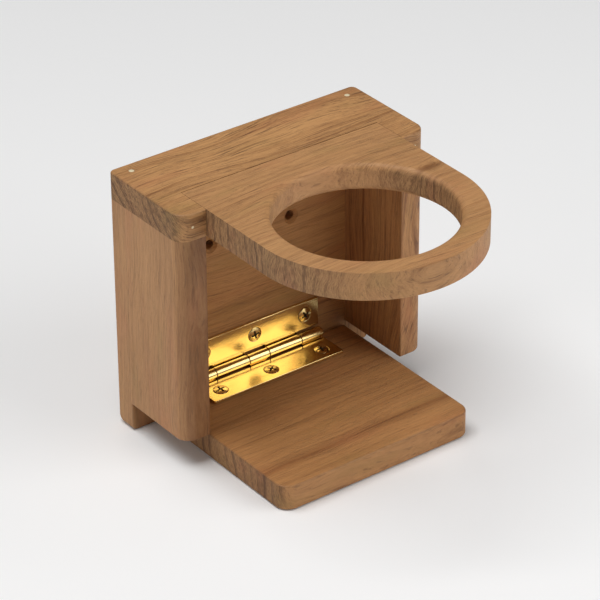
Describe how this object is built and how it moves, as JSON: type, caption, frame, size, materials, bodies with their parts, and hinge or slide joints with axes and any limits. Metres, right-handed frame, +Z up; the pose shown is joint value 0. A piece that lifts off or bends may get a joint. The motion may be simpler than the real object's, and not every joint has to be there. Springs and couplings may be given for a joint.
{
  "type": "fold-away wall cup holder",
  "caption": "Small teak wall case with a swing-down cup ring at the top and a drop shelf on a brass butt hinge at the bottom; it holds a shaving mug or tumbler and folds flat into its own depth.",
  "frame": {"origin": "on the wall plane at the back panel's rear face, midway between the two wall screw holes", "axes": "+X to the right as seen by the user, +Y into the wall, +Z up; the ring and the shelf reach out along -Y"},
  "size_m": [0.12, 0.1328, 0.1145],
  "materials": {
    "teak_case": "oiled teak, satin, vertical grain on the side panels",
    "teak_top": "oiled teak, satin, grain across the width, end grain at the ears' sides",
    "teak_ring": "oiled teak, satin, one board with the grain across the width",
    "teak_shelf": "oiled teak, satin, grain across the width",
    "hinge_brass": "mirror-polished yellow brass",
    "nail_brass": "plain drawn brass, ends sanded flush with the wood"
  },
  "bodies": {
    "case": {"back_panel": "teak_case", "left_side_panel": "teak_case", "right_side_panel": "teak_case", "top_board": "teak_top", "hinge_wall_leaf": "hinge_brass", "hinge_pin": "hinge_brass", "wall_leaf_screw_1": "hinge_brass", "wall_leaf_screw_2": "hinge_brass", "wall_leaf_screw_3": "hinge_brass", "ring_pivot_pin_left": "nail_brass", "ring_pivot_pin_right": "nail_brass", "pivot_lock_nail_left": "nail_brass", "pivot_lock_nail_right": "nail_brass", "top_nail_left": "nail_brass", "top_nail_right": "nail_brass"},
    "shelf": {"drop_shelf": "teak_shelf", "hinge_shelf_leaf": "hinge_brass", "shelf_leaf_screw_1": "hinge_brass", "shelf_leaf_screw_2": "hinge_brass", "shelf_leaf_screw_3": "hinge_brass"},
    "ring": {"cup_ring": "teak_ring"}
  },
  "joints": [
    {"name": "shelf_fold", "type": "hinge", "parent": "case", "child": "shelf", "pos_m": [0, -0.0138, -0.0579], "axis": [-1, 0, 0], "range_deg": [0, 90]},
    {"name": "ring_fold", "type": "hinge", "parent": "case", "child": "ring", "pos_m": [0, -0.0376, 0.0367], "axis": [1, 0, 0], "range_deg": [0, 90]}
  ]
}
